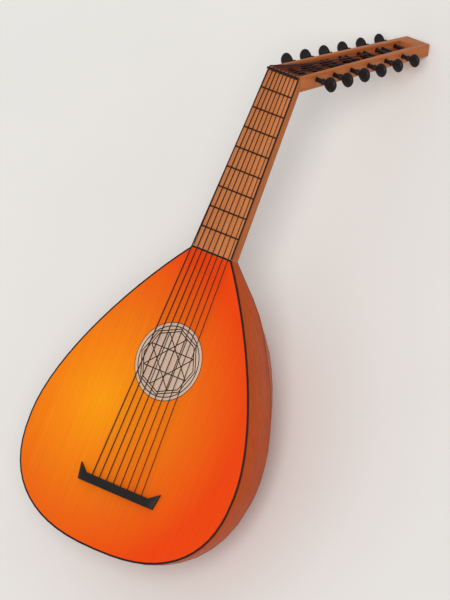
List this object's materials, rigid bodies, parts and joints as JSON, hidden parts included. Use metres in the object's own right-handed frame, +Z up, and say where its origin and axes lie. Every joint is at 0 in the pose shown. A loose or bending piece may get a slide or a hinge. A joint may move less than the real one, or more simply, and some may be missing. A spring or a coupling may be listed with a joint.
{
  "type": "lute",
  "caption": "Lute with a pear-shaped body, ribbed bowl back, pierced rose, fretted neck and a bent-back pegbox with turning side pegs",
  "frame": {"origin": "centre of the bounding box on the ground, the lute lying on its back on its bowl and the far end of its pegbox", "axes": "+Y from the tail to the neck, +X to the treble side, +Z up out of the soundboard"},
  "size_m": [0.349, 0.805, 0.2484],
  "materials": {
    "soundboard": "golden orange varnish that deepens to red orange at the edges",
    "ribs": "satin brown-orange varnish",
    "rose": "pale bare wood",
    "neck": "oiled mid-brown wood",
    "fingerboard": "oiled tan wood",
    "pegbox": "oiled orange-brown wood",
    "inner_wood": "bare wood",
    "dark_wood": "black stained hardwood, satin",
    "pegs": "black hardwood, satin",
    "strings": null
  },
  "bodies": {
    "lute_body": {"bowl_rib_1": "ribs", "bowl_rib_2": "ribs", "bowl_rib_3": "ribs", "bowl_rib_4": "ribs", "bowl_rib_5": "ribs", "bowl_rib_6": "ribs", "bowl_rib_7": "ribs", "bridge": "dark_wood", "end_clasp": "ribs", "fingerboard": "fingerboard", "fingerboard_binding_bass": "dark_wood", "fingerboard_binding_treble": "dark_wood", "fret_1": "dark_wood", "fret_2": "dark_wood", "fret_3": "dark_wood", "fret_4": "dark_wood", "fret_5": "dark_wood", "fret_6": "dark_wood", "fret_7": "dark_wood", "fret_8": "dark_wood", "joint_strip": "dark_wood", "neck": "neck", "neck_block": "inner_wood", "nut": "dark_wood", "pegbox_cheek_bass": "pegbox", "pegbox_cheek_treble": "pegbox", "pegbox_end_block": "pegbox", "pegbox_floor": "pegbox", "pegbox_heel": "pegbox", "rose": "rose", "soundboard": "soundboard", "soundboard_bar_1": "inner_wood", "soundboard_bar_2": "inner_wood", "soundboard_bar_3": "inner_wood", "soundboard_bar_4": "inner_wood", "soundboard_bar_5": "inner_wood", "soundboard_bar_6": "inner_wood", "soundboard_edging": "dark_wood", "string_1": "strings", "string_2": "strings", "string_3": "strings", "string_4": "strings", "string_5": "strings", "string_6": "strings", "string_7": "strings", "string_8": "strings"},
    "peg_bass_1": {"peg_bass_1": "pegs"},
    "peg_bass_2": {"peg_bass_2": "pegs"},
    "peg_bass_3": {"peg_bass_3": "pegs"},
    "peg_bass_4": {"peg_bass_4": "pegs"},
    "peg_bass_5": {"peg_bass_5": "pegs"},
    "peg_bass_6": {"peg_bass_6": "pegs"},
    "peg_treble_1": {"peg_treble_1": "pegs"},
    "peg_treble_2": {"peg_treble_2": "pegs"},
    "peg_treble_3": {"peg_treble_3": "pegs"},
    "peg_treble_4": {"peg_treble_4": "pegs"},
    "peg_treble_5": {"peg_treble_5": "pegs"},
    "peg_treble_6": {"peg_treble_6": "pegs"}
  },
  "joints": [
    {"name": "peg_bass_1_turn", "type": "hinge", "parent": "lute_body", "child": "peg_bass_1", "pos_m": [-0.02425, 0.27774, 0.18546], "axis": [1, 0, 0], "continuous": true},
    {"name": "peg_bass_2_turn", "type": "hinge", "parent": "lute_body", "child": "peg_bass_2", "pos_m": [-0.02342, 0.29801, 0.15483], "axis": [1, 0, 0], "continuous": true},
    {"name": "peg_bass_3_turn", "type": "hinge", "parent": "lute_body", "child": "peg_bass_3", "pos_m": [-0.0226, 0.31829, 0.12419], "axis": [1, 0, 0], "continuous": true},
    {"name": "peg_bass_4_turn", "type": "hinge", "parent": "lute_body", "child": "peg_bass_4", "pos_m": [-0.02178, 0.33857, 0.09355], "axis": [1, 0, 0], "continuous": true},
    {"name": "peg_bass_5_turn", "type": "hinge", "parent": "lute_body", "child": "peg_bass_5", "pos_m": [-0.02095, 0.35885, 0.06291], "axis": [1, 0, 0], "continuous": true},
    {"name": "peg_bass_6_turn", "type": "hinge", "parent": "lute_body", "child": "peg_bass_6", "pos_m": [-0.02013, 0.37913, 0.03227], "axis": [1, 0, 0], "continuous": true},
    {"name": "peg_treble_1_turn", "type": "hinge", "parent": "lute_body", "child": "peg_treble_1", "pos_m": [0.02481, 0.26388, 0.2064], "axis": [1, 0, 0], "continuous": true},
    {"name": "peg_treble_2_turn", "type": "hinge", "parent": "lute_body", "child": "peg_treble_2", "pos_m": [0.02399, 0.28416, 0.17576], "axis": [1, 0, 0], "continuous": true},
    {"name": "peg_treble_3_turn", "type": "hinge", "parent": "lute_body", "child": "peg_treble_3", "pos_m": [0.02316, 0.30444, 0.14512], "axis": [1, 0, 0], "continuous": true},
    {"name": "peg_treble_4_turn", "type": "hinge", "parent": "lute_body", "child": "peg_treble_4", "pos_m": [0.02234, 0.32472, 0.11448], "axis": [1, 0, 0], "continuous": true},
    {"name": "peg_treble_5_turn", "type": "hinge", "parent": "lute_body", "child": "peg_treble_5", "pos_m": [0.02151, 0.34499, 0.08384], "axis": [1, 0, 0], "continuous": true},
    {"name": "peg_treble_6_turn", "type": "hinge", "parent": "lute_body", "child": "peg_treble_6", "pos_m": [0.02069, 0.36527, 0.0532], "axis": [1, 0, 0], "continuous": true}
  ]
}
